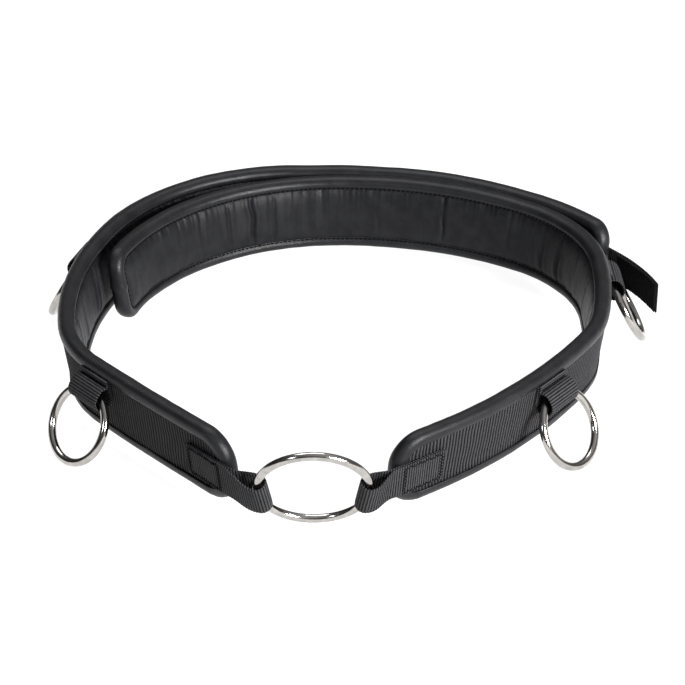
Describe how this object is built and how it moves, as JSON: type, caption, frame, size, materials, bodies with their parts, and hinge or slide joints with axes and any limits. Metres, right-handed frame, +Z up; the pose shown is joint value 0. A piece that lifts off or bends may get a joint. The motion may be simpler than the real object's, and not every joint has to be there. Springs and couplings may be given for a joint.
{
  "type": "padded waist belt",
  "caption": "Wide padded waist belt in two overlapping halves, joined at the front by a large steel O-ring, with small rings on webbing tabs and a hook tape tail.",
  "frame": {"origin": "middle of the belt's plan outline, on the surface under its rings", "axes": "+Z up, +Y from the large front ring towards the overlapping back, +X towards the half that lies inside at the back"},
  "size_m": [0.4662, 0.4485, 0.0755],
  "materials": {
    "rim_leather": "smooth satin leather rolled over a cord, with fine grain",
    "lining_leather": "soft satin leather, gathered into upright wrinkles along its stitching",
    "foam": "matt closed-cell foam, hidden inside the belt",
    "wide_webbing": "ribbed polyester webbing, dull sheen",
    "strap_webbing": "narrow ribbed webbing with box stitching",
    "ring_steel": "mirror-polished welded steel wire",
    "hook_tape": "fuzzy hook tape",
    "loop_pile": "brushed loop pile"
  },
  "bodies": {
    "left_front": {"left_front_rim": "rim_leather", "left_front_lining": "lining_leather", "left_front_foam": "foam", "left_front_webbing": "wide_webbing", "left_front_strap": "strap_webbing", "left_front_tab": "strap_webbing"},
    "left_wing": {"left_wing_rim": "rim_leather", "left_wing_lining": "lining_leather", "left_wing_foam": "foam", "left_wing_webbing": "wide_webbing", "left_back_tab": "strap_webbing", "tail_patch": "strap_webbing"},
    "tail": {"tail_strap": "strap_webbing", "tail_hook_tape": "hook_tape"},
    "centre_ring": {"centre_ring": "ring_steel"},
    "right_front": {"right_front_rim": "rim_leather", "right_front_lining": "lining_leather", "right_front_foam": "foam", "right_front_webbing": "wide_webbing", "right_front_strap": "strap_webbing", "right_front_tab": "strap_webbing"},
    "right_wing": {"right_wing_rim": "rim_leather", "right_wing_lining": "lining_leather", "right_wing_foam": "foam", "right_wing_webbing": "wide_webbing", "right_back_tab": "strap_webbing", "loop_panel": "loop_pile"},
    "left_front_ring": {"left_front_ring": "ring_steel"},
    "left_back_ring": {"left_back_ring": "ring_steel"},
    "right_front_ring": {"right_front_ring": "ring_steel"},
    "right_back_ring": {"right_back_ring": "ring_steel"}
  },
  "joints": [
    {"name": "left_wing_bend", "type": "hinge", "parent": "left_front", "child": "left_wing", "pos_m": [-0.21803, 0.01405, 0.04], "axis": [0, 0, 1], "range_deg": [0, 50]},
    {"name": "centre_ring_swing", "type": "hinge", "parent": "left_front", "child": "centre_ring", "pos_m": [-0.06134, -0.20311, 0.03122], "axis": [0, 0, 1], "range_deg": [-10, 0]},
    {"name": "right_half_swing", "type": "hinge", "parent": "centre_ring", "child": "right_front", "pos_m": [0.01094, -0.20311, 0.03122], "axis": [0, 0, 1], "range_deg": [-10, 0]},
    {"name": "right_wing_bend", "type": "hinge", "parent": "right_front", "child": "right_wing", "pos_m": [0.17043, -0.01659, 0.04], "axis": [0, 0, 1], "range_deg": [0, 12]},
    {"name": "left_front_ring_swing", "type": "hinge", "parent": "left_front", "child": "left_front_ring", "pos_m": [-0.18288, -0.09976, 0.0475], "axis": [-0.6589, 0.7522, 0], "range_deg": [-36, 110]},
    {"name": "left_back_ring_swing", "type": "hinge", "parent": "left_wing", "child": "left_back_ring", "pos_m": [-0.2041, 0.09746, 0.0475], "axis": [0.3029, 0.953, 0], "range_deg": [-36, 110]},
    {"name": "right_front_ring_swing", "type": "hinge", "parent": "right_front", "child": "right_front_ring", "pos_m": [0.14417, -0.10567, 0.0475], "axis": [-0.621, -0.7838, 0], "range_deg": [-36, 110]},
    {"name": "right_back_ring_swing", "type": "hinge", "parent": "right_wing", "child": "right_back_ring", "pos_m": [0.19853, 0.06376, 0.0475], "axis": [0.0438, -0.999, 0], "range_deg": [-36, 0]},
    {"name": "tail_bend", "type": "hinge", "parent": "left_wing", "child": "tail", "pos_m": [0.20253, 0.11336, 0.0357], "axis": [0, 0, 1], "range_deg": [-2, 70]}
  ],
  "couplings": [
    {"joint": "centre_ring_swing", "follows": "left_wing_bend", "ratio": -0.2},
    {"joint": "right_half_swing", "follows": "left_wing_bend", "ratio": -0.2}
  ]
}
